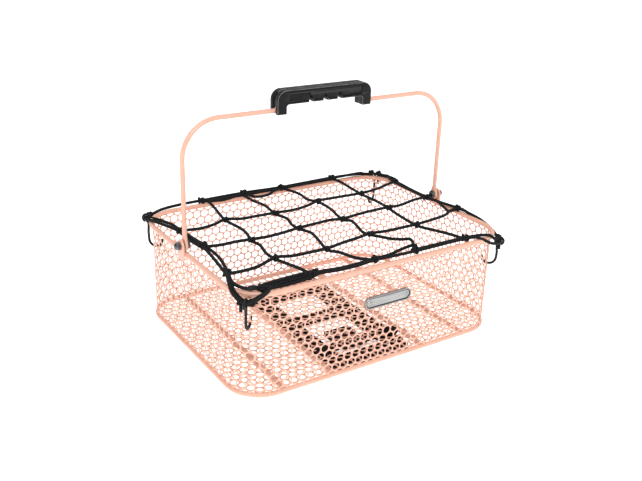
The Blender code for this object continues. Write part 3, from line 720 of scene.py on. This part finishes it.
def make_bail(coat):
    runs = [(bail_route(), BAIL_RADIUS, False)]
    rod = tubes_mesh("bail_rod", runs, ROD_SIDES)
    add(rod, coat, "bail", ["bail"])
    sides = 24
    for side, name in SIDES:
        verts = []
        heights = [PIVOT_Z - EYE_RADIUS * math.cos(a) for a in np.linspace(0.05, 2.3, 14)]
        heights += list(np.linspace(heights[-1], PIVOT_Z + 13, 8)[1:])
        for z in heights:
            reach = math.sqrt(max(EYE_RADIUS ** 2 - (z - PIVOT_Z) ** 2, 0.0))
            blend = min(max((z - PIVOT_Z - 4.0) / 8.0, 0.0), 1.0)
            blend = blend * blend * (3 - 2 * blend)
            wide = max(reach, BAIL_RADIUS + (EYE_RADIUS - BAIL_RADIUS) * 0.6 * (1 - blend)
                       if z > PIVOT_Z else reach)
            thick = EYE_THICK / 2 * (1 - blend) + (BAIL_RADIUS + 0.02) * blend
            wide = max(wide, 0.2) if blend < 1 else BAIL_RADIUS + 0.02
            power = 0.45 + 0.55 * blend
            for a in 2 * math.pi * np.arange(sides) / sides:
                c, s = math.cos(a), math.sin(a)
                verts.append((side * BAIL_HALF + thick * math.copysign(abs(c) ** power, c),
                              PIVOT_Y + wide * math.copysign(abs(s) ** (0.7 + 0.3 * blend), s), z))
        mesh = make_mesh("bail_eye_" + name, verts, loft_faces(len(heights), sides), 50)
        eye = add(mesh, coat, "bail", ["bail"])
        bore = bmesh.new()
        place = at(side * BAIL_HALF, PIVOT_Y, PIVOT_Z)
        bmesh.ops.create_cone(bore, cap_ends=True, segments=32, radius1=BOLT_HOLE * MM,
                              radius2=BOLT_HOLE * MM, depth=0.012,
                              matrix=place @ Matrix.Rotation(math.radians(90), 4, "Y"))
        carve(eye, [write_mesh(bore, bpy.data.meshes.new("bore"))])


def make_pivots(coat, steel):
    head_x = BAIL_HALF - EYE_THICK / 2 - 0.3
    spacer_in, spacer_out = BAIL_HALF + EYE_THICK / 2 + 0.3, TAB_X - 0.3
    nut_x = TAB_X + TAB_THICK + 0.3
    bolt = [(0, 10.5), (2.2, 10.5), (2.5, 10.2), (2.5, 0), (4.7, 0), (5, -0.3), (5, -1.3),
            (4.7, -2.0), (4.0, -2.55), (3.0, -2.85), (2.4, -2.9), (2.2, -2.75), (2.2, -1.6),
            (0, -1.6)]
    spacer = [(2.8, spacer_out - spacer_in), (4.6, spacer_out - spacer_in), (4.6, 0), (2.8, 0),
              (2.8, spacer_out - spacer_in)]
    nut = [(0, 6.2), (1.2, 6.1), (2.3, 5.7), (3.2, 4.9), (3.75, 4.0), (4.0, 3.0), (4.4, 2.9),
           (4.4, 0.2), (4.2, 0), (2.8, 0), (2.8, 4.2), (0, 4.2)]
    top = arc((PIVOT_Y, PIVOT_Z), TAB_HALF, 0, 180, 24)
    outline = [(PIVOT_Y + TAB_HALF, TAB_BOTTOM)] + top + [(PIVOT_Y - TAB_HALF, TAB_BOTTOM)]
    hole = arc((PIVOT_Y, PIVOT_Z), BOLT_HOLE, 0, 345, 23)
    upright = Matrix(((0, 0, 1, 0), (1, 0, 0, 0), (0, 1, 0, 0), (0, 0, 0, 1)))
    for side, name in SIDES:
        for kind, profile, x, node in (("screw", bolt, head_x, "bolt"),
                                       ("washer", spacer, spacer_in, "spacer"),
                                       ("cap", nut, nut_x, "nut")):
            turned(f"pivot_{kind}_{name}", profile, steel, (side * x, PIVOT_Y, PIVOT_Z),
                   (side, 0, 0), [f"pivot_{node}_{name}"])
        mesh = plate_mesh("tab_plate_" + name, [outline, hole], TAB_THICK, 0.45, 2)
        add(mesh, coat, "tub", ["tab_" + name],
            at(side * (TAB_X + TAB_THICK / 2), 0, 0) @ upright)
        weld = [(side * (TAB_X + 0.1), y, RIM_Z + 1.6 + 0.25 * math.sin(y * 2.1))
                for y in np.linspace(PIVOT_Y - 6.4, PIVOT_Y + 6.4, 15)]
        add(tubes_mesh("tab_weld_" + name, [(weld, 1.1, False)], 12), coat,
            "tub")


def box_tool(low, high):
    bm = bmesh.new()
    size = [b - a for a, b in zip(low, high)]
    middle = [(a + b) / 2 for a, b in zip(low, high)]
    matrix = Matrix.Translation(Vector(middle) * MM) @ Matrix.Diagonal((*(Vector(size) * MM), 1.0))
    bmesh.ops.create_cube(bm, size=1.0, matrix=matrix)
    return write_mesh(bm, bpy.data.meshes.new("tool"))


def grip_outline():
    left, right = GRIP_X - GRIP_HALF, GRIP_X + GRIP_HALF
    points = arc((left + 1, GRIP_BOTTOM + 1), 1, 180, 270, 3)
    points += arc((left + GRIP_LEG - 1, GRIP_BOTTOM + 1), 1, 270, 360, 3)
    points += arc((left + GRIP_LEG + 3, GRIP_UNDER - 3), 3, 180, 90, 6)
    for i in (-1, 0, 1):
        middle = GRIP_X + i * NOTCH_PITCH
        half, top = NOTCH_SIZE[0] / 2, GRIP_UNDER + NOTCH_SIZE[1]
        points += [(middle - half, GRIP_UNDER)]
        points += arc((middle, top - half), half, 180, 0, 8)
        points += [(middle + half, GRIP_UNDER)]
    points += arc((right - GRIP_LEG - 3, GRIP_UNDER - 3), 3, 90, 0, 6)
    points += arc((right - GRIP_LEG + 1, GRIP_BOTTOM + 1), 1, 180, 270, 3)
    points += arc((right - 1, GRIP_BOTTOM + 1), 1, 270, 360, 3)
    points += arc((right - GRIP_CORNER, GRIP_TOP - GRIP_CORNER), GRIP_CORNER, 0, 90, 16)
    points += arc((left + GRIP_CORNER, GRIP_TOP - GRIP_CORNER), GRIP_CORNER, 90, 180, 16)
    return points


def make_grip(black, edge_highlight):
    """Two shells with a recessed face, a blank name panel, lips between the notches and ridges."""
    thick = (GRIP_DEPTH - 0.3) / 2
    left, right = GRIP_X - GRIP_HALF, GRIP_X + GRIP_HALF
    groove = tubes_mesh("groove", [(bail_route(), BAIL_RADIUS + 0.3, False)], 24)
    for side, name in ((-1, "front"), (1, "back")):
        mesh = plate_mesh("grip_shell_" + name, [grip_outline()], thick, 1.0, 3)
        middle_y = PIVOT_Y + side * (0.15 + thick / 2)
        shell = add(mesh, black, "bail", ["grip_" + name],
                    at(0, middle_y, 0) @ FACING_FRONT)
        face = PIVOT_Y + side * GRIP_DEPTH / 2
        tools = [groove.copy()]
        for low_x, high_x, low_z, high_z, deep in (
                (left + GRIP_LEG + 1.2, right - GRIP_LEG - 1.2, 273.6, 284.2, 0.8),
                (left + GRIP_LEG + 2.4, -22.6, 275.2, 282.6, 1.5),
                (-17.5, right - GRIP_LEG - 3.0, 282.6, 283.2, 1.4)):
            a, b = sorted((face - side * deep, face + side * 2))
            tools.append(box_tool((low_x, a, low_z), (high_x, b, high_z)))
        inner = PIVOT_Y - side * 1
        a, b = sorted((inner, PIVOT_Y + side * 3.4))
        for x0, x1 in ((left - 2, left + 5.0), (right - 5.0, right + 2)):
            tools.append(box_tool((x0, a, GRIP_BOTTOM - 2), (x1, b, GRIP_TOP + 2)))
        carve(shell, tools)
        shell.data.materials.clear()
        shell.data.materials.append(black)
        shell.data.materials.append(edge_highlight)
        soft = shell.modifiers.new("soft edges", "BEVEL")
        soft.width, soft.segments, soft.limit_method = 0.45 * MM, 2, "ANGLE"
        soft.angle_limit = math.radians(50)
        softened = evaluated(shell)
        shell.modifiers.clear()
        shell.data = softened
        # The rounded edges of both shells take the second material, a painted highlight.
        for face in softened.polygons:
            if 0.3 < abs(face.normal.z) < 0.85:      # the rounded edges of the front and the back
                face.material_index = 1
        finish_shading(shell.data, 35)
    core = [(x, PIVOT_Y, BAIL_TOP + BAIL_RAISE) for x in (left + 7, right - 7)]
    add(tubes_mesh("grip_core", [(core, BAIL_RADIUS + 0.9, False)], 24), black,
        "bail")
    make_ridges(black)


def make_ridges(black):
    """Wavy ridges that run along the top of the grip."""
    columns, rows = 120, 40
    half_x, half_y = GRIP_HALF - GRIP_CORNER - 1, GRIP_DEPTH / 2 - 1.6
    verts, faces = [], []
    for layer in (1, 0):
        for i in range(columns + 1):
            x = GRIP_X - half_x + 2 * half_x * i / columns
            for j in range(rows + 1):
                y = -half_y + 2 * half_y * j / rows
                wave = math.sin(2 * math.pi * (y + 0.8 * math.sin(x * 0.26)) / 3.3)
                fade = min(1.0, 8 * (1 - abs(y) / half_y), 16 * (1 - abs(x - GRIP_X) / half_x))
                height = GRIP_TOP - 0.75 + 0.7 * max(fade, 0) * (0.5 + 0.5 * wave)
                verts.append((x, PIVOT_Y + y, height if layer else GRIP_TOP - 1.6))
    stride = rows + 1
    size = (columns + 1) * stride
    for i in range(columns):
        for j in range(rows):
            a = i * stride + j
            faces.append((a, a + stride, a + stride + 1, a + 1))
            faces.append((size + a, size + a + 1, size + a + stride + 1, size + a + stride))
    ring = [i * stride for i in range(columns + 1)]
    ring += [columns * stride + j for j in range(1, rows + 1)]
    ring += [i * stride + rows for i in range(columns - 1, -1, -1)]
    ring += [j for j in range(rows - 1, 0, -1)]
    for a, b in zip(ring, ring[1:] + ring[:1]):
        faces.append((b, a, size + a, size + b))
    add(make_mesh("grip_ridges", verts, faces, 60), black, "bail")


# --- badge, clamps, latch ---

def stadium(half_x, half_y, steps=16):
    straight = half_x - half_y
    return arc((straight, 0), half_y, -90, 90, steps) + arc((-straight, 0), half_y, 90, 270, steps)


def make_badge(metal, shadow_line_metal):
    """Blank oblong plate: raised border, sunk field with a second fine border painted dark as a shadow
    line, two rivets.
    """
    outer_y = -WALL_HALF[1] - SHEET / 2 - 0.3
    base = 1.5
    mesh = plate_mesh("badge_base", [stadium(*BADGE_HALF)], base, 0.4, 2)
    add(mesh, metal, "tub", ["badge_plate"],
        at(BADGE_X, outer_y - base / 2, BADGE_Z) @ FACING_FRONT)
    for name, grow, width, rise in (("badge_border", 0.0, 1.5, BADGE_THICK - base),
                                    ("badge_inner_border", 1.6, 0.9, 0.2)):
        outline = stadium(BADGE_HALF[0] - grow, BADGE_HALF[1] - grow)
        cut = stadium(BADGE_HALF[0] - grow - width, BADGE_HALF[1] - grow - width)
        thick = rise + 0.6
        mesh = plate_mesh(name, [outline, cut], thick, min(width, thick) * 0.3, 3)
        y = outer_y - base + 0.6 - thick / 2
        # The fine inner border takes the darkened badge metal: a painted shadow line between border
        # and field.
        add(mesh, metal if grow == 0 else shadow_line_metal, "tub", (),
            at(BADGE_X, y, BADGE_Z) @ FACING_FRONT)
    rivet = [(0, 1.35), (0.9, 1.28), (1.8, 1.0), (2.5, 0.55), (2.9, 0), (1.5, -0.2), (1.5, -4.0),
             (4.8, -4.0), (5.0, -4.3), (4.6, -4.9), (2.4, -5.4), (0, -5.5)]
    for side, name in SIDES:
        turned("badge_pin_" + name, rivet, metal,
               (BADGE_X + side * RIVET_X, outer_y - base, BADGE_Z), (0, -1, 0),
               ["badge_rivet_" + name])


def make_clamps(black, steel):
    head_z = 4.0 - 0.3 - 2.6
    tip = FLOOR_Z + 4.0 - head_z
    screw = [(0, tip), (1.7, tip), (2.0, tip - 0.3), (2.0, 2.6), (4.0, 2.6), (4.2, 2.4), (4.2, 0.5),
             (3.7, 0), (2.0, 0), (1.6, 1.4), (0, 1.4)]
    disc = [(0, 4.6), (4.6, 4.6), (5.4, 4.45), (6.6, 4.1), (7.6, 3.4), (8.2, 2.5), (8.5, 1.6),
            (8.5, 0.3), (8.2, 0), (2.3, 0), (2.3, 3.5), (0, 3.5)]
    for side, name in SIDES:
        place = (side * CLAMP_X, CLAMP_Y)
        turned("clamp_bolt_" + name, screw, steel, (*place, head_z), (0, 0, 1),
               ["clamp_screw_" + name])
        turned("clamp_knob_" + name, disc, black,
               (*place, FLOOR_Z + SHEET / 2 + 0.3), (0, 0, 1), ["clamp_disc_" + name])


def make_spring(steel):
    """Return spring of the latch, coiled between the two ends in SPRING_Y."""
    count = 24 * SPRING_TURNS
    front, back = SPRING_Y
    points = []
    for i in range(count + 1):
        turn = 2 * math.pi * SPRING_TURNS * i / count
        points.append((SPRING_RADIUS * math.cos(turn), front + 0.65 + (back - front - 1.3) * i / count,
                       SPRING_Z + SPRING_RADIUS * math.sin(turn)))
    spring = add(tubes_mesh("return_spring", [(points, SPRING_WIRE, False)], 8),
                 steel, "tub", ["latch_spring"])
    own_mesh(spring)


# --- net ---

def corner_place(side_x, side_y, radius, z):
    reach = radius / math.sqrt(2)
    return (side_x * (CORNER_CENTRE[0] + reach), side_y * (CORNER_CENTRE[1] + reach), z)


def make_hooks(wire):
    for name, (side_x, side_y, low, eye, turn) in HOOKS.items():
        swing = math.tan(math.radians(turn))
        ring = [corner_place(side_x, side_y, HOOK_EYE + HOOK_RING * math.cos(math.radians(a)),
                             eye + HOOK_RING * math.sin(math.radians(a)))
                for a in range(-60, 241, 12)]
        shank = []
        for reach, height in ((47.0, eye - HOOK_RING - 6), (47.4, (eye + low) / 2),
                              (46.8, low + 6), (44.2, low + 1.6), (40.5, low), (36.0, low + 0.4),
                              (32.2, low + 3.4), (30.6, low + 9)):
            x, y, z = corner_place(side_x, side_y, reach, height)
            aside = swing * (HOOK_EYE - reach) / math.sqrt(2) if reach < HOOK_SHANK_TOP else 0.0
            shank.append((x - aside * side_y, y + aside * side_x, z))
        route = ring + list(spline([ring[-1]] + shank, 1.2))[1:]
        mesh = tubes_mesh("net_hook_wire_" + name, [(route, HOOK_WIRE, False)], 16)
        add(mesh, wire, "tub", ["net_hook_" + name])


def knot_runs(place, size, turn, tilt=0.0, lift=0.62):
    """Tight overhand knot: a low trefoil of cord."""
    t = np.linspace(0, 2 * math.pi, 36, endpoint=False)
    x = (np.sin(t) + 2 * np.sin(2 * t)) / 3
    y = (np.cos(t) - 2 * np.cos(2 * t)) / 3
    z = -np.sin(3 * t) * lift
    c, s = math.cos(turn), math.sin(turn)
    points = np.stack([c * x - s * y, s * x + c * y, z + tilt * x], axis=1) * size
    return (points + np.array(place), CORD * 0.93, True)


def make_net(cord):
    rng = np.random.default_rng(7)
    for kind, lines, z in (("row", ROWS, NET_Z + CROSSING), ("column", COLUMNS, NET_Z - CROSSING)):
        for index, line in enumerate(lines, 1):
            name = f"net_{kind}_cord_{index}"
            mesh = tubes_mesh(name, [(spline(level(line, z), CORD_STEP), CORD, False)])
            add(mesh, cord, "tub", [f"net_{kind}_{index}"])
    crossings = [point for row in ROWS for column in COLUMNS for point in row if point in column]
    runs = [knot_runs((x, y, NET_Z + 0.3), 3.0, rng.uniform(0, 6.3), rng.uniform(-0.2, 0.2))
            for x, y in crossings]
    add(tubes_mesh("net_knots", runs, 10), cord, "tub")


def border_corner(name):
    """Route of a border strand over the rim, through a hook's eye and back over the rim."""
    side_x, side_y, _, eye, _ = HOOKS[name]
    centre = np.array(CORNER_CENTRE) * (side_x, side_y)
    out = math.atan2(side_y, side_x)
    points = []
    for degrees, radius, z in ((-30, 39.7, 129.0), (-17, 45.6, (eye + 129) / 2), (0, HOOK_EYE, eye),
                               (17, 45.6, (eye + 129) / 2), (30, 39.7, 129.0)):
        angle = out + math.radians(degrees)
        points.append((centre[0] + radius * math.cos(angle), centre[1] + radius * math.sin(angle), z))
    return points


def make_border(cord):
    top = NET_Z + 0.2
    left = [(-156, 51, top), (-152, 0, top), (-162, -74, top)]
    front = [(-149, -121, top), (-88, -118, top), (-56, -122, top), (-33, -121.6, top),
             (-12, -119.6, top), (42, -121.5, top), (112, -121.5, top)]
    right = [(170, -43, top), (161.5, 6.5, top), (165.5, 74.6, top)]
    back = [(99, 128.5, top), (19, 126.5, top), (-34, 130, top), (-93, 129, top)]
    front_left = border_corner("front_left")
    front_right = border_corner("front_right")
    back_right = border_corner("back_right")
    back_left = border_corner("back_left")
    eye_right = HOOKS["front_right"][3]
    outer_right = ([(128, -125.5, 128.2), (141, -130.6, 121.5), (155, -129, 117.5)]
                   + front_right[2:3]
                   + [(173.5, -106, 116.0), (176.6, -92, 118.0), (175.8, -76, 122.5),
                      (173.2, -62, 127.0)])
    inner_right = (front_right[:2] + [(163.5, -119.5, eye_right + 2.5)]
                   + [(171, -108, 118.5), (175.8, -92, 121.4), (174.6, -76, 125.8),
                      (171.2, -60, 128.8)])

    def shifted(points, away, up=0.0):
        """Points moved towards the middle of the net by away."""
        moved = []
        for x, y, z in points:
            scale = 1 - away / math.hypot(x, y)
            moved.append((x * scale, y * scale, z + up))
        return moved

    outer = (left + front_left + front + outer_right + right + back_right + back
             + [(-120, 129.0, 129.0), (-146, 126.2, 127.8)] + back_left[2:])
    inner_front = shifted(front, 2.6, 0.4)
    slack_front = inner_front[:5] + [(8, -116, top), (27, -111, top), (44, -107.5, top),
                                     (50, -109, top), (45, -115, top)] + inner_front[5:]
    slack_right = [(171, -44, top), (153.5, -46, top), (157, -30, top), (163.5, -10, top),
                   (160, 7, top), (162, 74, top)]
    slack_back = [(97, 126, top), (19, 123.5, top), (-4, 117, 126.5), (-22, 116.5, 126.5),
                  (-36, 126.5, top), (-64, 123.5, 127.5), (-91, 126.5, top)]
    inner = (shifted(back_left[2:3], 1.5, 1.0) + [(-160.5, 96, 128.4), (-154.5, 72, top)]
             + [(-153, 52, top), (-151, 26, top)] + shifted([left[1]], 3.0) + [(-150, -36, top)]
             + shifted([left[2]], 3.4) + shifted(front_left, 2.6, 1.6) + slack_front
             + inner_right + slack_right + shifted(back_right, 2.0, 2.0)
             + slack_back)
    beside = [(-155, 50, top - 1.0), (-156, 26, top - 0.8), (-153, -1, top - 1.0)]
    third = ([(-161, -72, top + 2.2)] + shifted(front_left, -1.5, 2.0)
             + [(-147, -119, top + 2.0), (-118, -117, top + 2.6), (-89, -115, top + 2.0)])
    fourth = [(-148, -120, top - 1.6), (-130, -121.6, top - 1.8), (-108, -121.4, top - 1.8),
              (-88, -119.5, top - 1.4)]
    cluster = [(167, 78, top + 1.8), (167.5, 96, top + 1.0), (161.5, 112, top + 0.4),
               (152, 121, top - 0.6), (140, 126, top), (124, 127, top)]
    rest = [(-90, 127, 128.6), (-40, 125.9, 128.4), (40, 125.9, 128.4), (98, 126.5, 128.6)]
    tail = [(-161, -78, top), (-166, -98, top + 0.4), (-162, -112, top + 0.2), (-154, -117, top),
            (-146, -119, top + 1.0)]
    for name, route, replaced in (
            ("outer", outer, ["net_border_lower"]), ("inner", inner, ["net_border_upper"]),
            ("third", third, ()), ("fourth", fourth, ()), ("beside", beside, ()),
            ("rest", rest, ()), ("tail", tail, ()), ("cluster", cluster, ())):
        closed = name == "outer"
        mesh = tubes_mesh("net_border_" + name, [(spline(route, CORD_STEP, closed), CORD, closed)])
        add(mesh, cord, "tub", replaced)
    rng = np.random.default_rng(11)
    runs = []
    for x, y, z in left + front[:2] + front[4:] + right + back:
        inward = 1 - 1.6 / math.hypot(x, y)
        place = (x * inward, y * inward, z + 0.4)
        runs.append(knot_runs(place, 3.6, rng.uniform(0, 6.3), rng.uniform(-0.2, 0.2)))
    for x in (-94, -84):
        runs.append(knot_runs((x, -116.5, top + 0.6), 3.4, 1.2 * x, 0.1))
    for x, y in ((163, 110), (156, 118)):
        runs.append(knot_runs((x, y, top + 1.6), 2.8, x, 0.2))
    for name, (side_x, side_y, _, eye, _) in HOOKS.items():
        out = math.atan2(side_y, side_x)
        for degrees in (-7.0, 7.0):
            angle = out + math.radians(degrees)
            place = (side_x * CORNER_CENTRE[0] + (HOOK_EYE - 1.2) * math.cos(angle),
                     side_y * CORNER_CENTRE[1] + (HOOK_EYE - 1.2) * math.sin(angle), eye + 1.6)
            runs.append(knot_runs(place, 2.7, out + degrees, 0.2, 0.9))
    add(tubes_mesh("net_border_knots", runs, 10), cord, "tub")
    ends = []
    for side_x, side_y, _, eye, _ in HOOKS.values():
        out = math.atan2(side_y, side_x)
        foot = Vector((side_x * CORNER_CENTRE[0], side_y * CORNER_CENTRE[1], eye))
        foot += Vector((math.cos(out - 0.09), math.sin(out - 0.09), 0)) * (HOOK_EYE + 0.4)
        ends.append(([tuple(foot + Vector((0, 0, -1.6 * k))) for k in range(6)], CORD, False))
    add(tubes_mesh("net_cord_ends", ends), cord, "tub")


def make_toggle(black):
    """Small oval cord end that lies on the front left of the net."""
    steps = np.linspace(-1, 1, 17)
    verts = []
    sides = 20
    for k in steps:
        radius = 2.6 * math.sqrt(max(1 - abs(k) ** 2.6, 0.0)) + 0.02
        for a in 2 * math.pi * np.arange(sides) / sides:
            verts.append((5.9 * k, 1.15 * radius * math.cos(a), radius * math.sin(a)))
    faces = loft_faces(len(steps), sides)
    place = at(-155, -116.5, NET_Z + 0.8)
    add(make_mesh("net_toggle", verts, faces), black, "tub", (),
        place @ Matrix.Rotation(math.radians(-12), 4, "Z"))


# --- light and camera ---

def make_studio():
    bm = bmesh.new()
    bmesh.ops.create_grid(bm, x_segments=1, y_segments=1, size=6.0)
    mesh = write_mesh(bm, bpy.data.meshes.new("studio_floor"))
    mesh.materials.append(studio_floor())
    floor = new_object("studio_floor", mesh)
    floor.location.z = -0.0002
    world = bpy.data.worlds.new("studio")
    world.use_nodes = True
    world.node_tree.nodes["Background"].inputs["Color"].default_value = (1.0, 1.0, 1.0, 1.0)
    world.node_tree.nodes["Background"].inputs["Strength"].default_value = WORLD_STRENGTH
    bpy.context.scene.world = world
    for name, place, size, power in LIGHTS:
        light = bpy.data.lights.new(name, "AREA")
        light.shape = "DISK"
        light.size = size
        light.energy = power
        obj = new_object(name, light)
        obj.location = place
        obj.rotation_mode = "QUATERNION"
        obj.rotation_quaternion = (Vector((0, 0, 0.1)) - Vector(place)).to_track_quat("-Z", "Y")


def make_camera():
    azimuth, elevation, roll = map(math.radians, CAMERA_TURN)
    back = Vector((math.sin(azimuth) * math.cos(elevation), -math.cos(azimuth) * math.cos(elevation),
                   math.sin(elevation)))
    right = Vector((math.cos(azimuth), math.sin(azimuth), 0.0))
    up = back.cross(right)
    turned_right = right * math.cos(roll) + up * math.sin(roll)
    turned_up = up * math.cos(roll) - right * math.sin(roll)
    data = bpy.data.cameras.new("camera")
    data.sensor_width = 36.0
    data.lens = CAMERA_LENS
    data.clip_start, data.clip_end = 0.05, 50.0
    camera = new_object("camera", data)
    matrix = Matrix((turned_right, turned_up, back)).transposed().to_4x4()
    matrix.translation = CAMERA_PLACE
    camera.matrix_world = matrix
    bpy.context.scene.camera = camera
    bpy.context.scene.view_settings.view_transform = "Standard"


def main():
    coat, cord = powder_coat(), braided_cord()
    black = moulding("black_moulding", 0.14, 0.05)
    # Paler grey for the grip's rounded edges: a painted highlight.
    edge_highlight = painted_highlight_edge()
    # A darker copy of the black moulding for the plate, latch and clamp knobs: painted shade, with
    # less reflection and less painted edge highlight.
    shaded_black = moulding("black_moulding_shaded_copy", 0.03, 0.02)
    wire, steel, metal = coated_wire(), zinc(), cast_badge("silver_badge", 1.0)
    make_wall(coat)
    make_floor(coat)
    make_rods(coat)
    make_bail(coat)
    make_pivots(coat, steel)
    make_grip(black, edge_highlight)
    make_badge(metal, cast_badge("badge_painted_shadow_line", 0.08))
    make_clamps(shaded_black, steel)
    make_spring(steel)
    make_hooks(wire)
    make_net(cord)
    make_border(cord)
    make_toggle(black)
    kept = {f"floor_bar_{number}": coat for number in range(1, 5)}
    kept.update(adapter_plate=shaded_black, latch_slide=shaded_black)
    for name, mat in kept.items():
        for material_slot in nodes[name].material_slots:
            material_slot.material = mat
    make_studio()
    make_camera()


main()
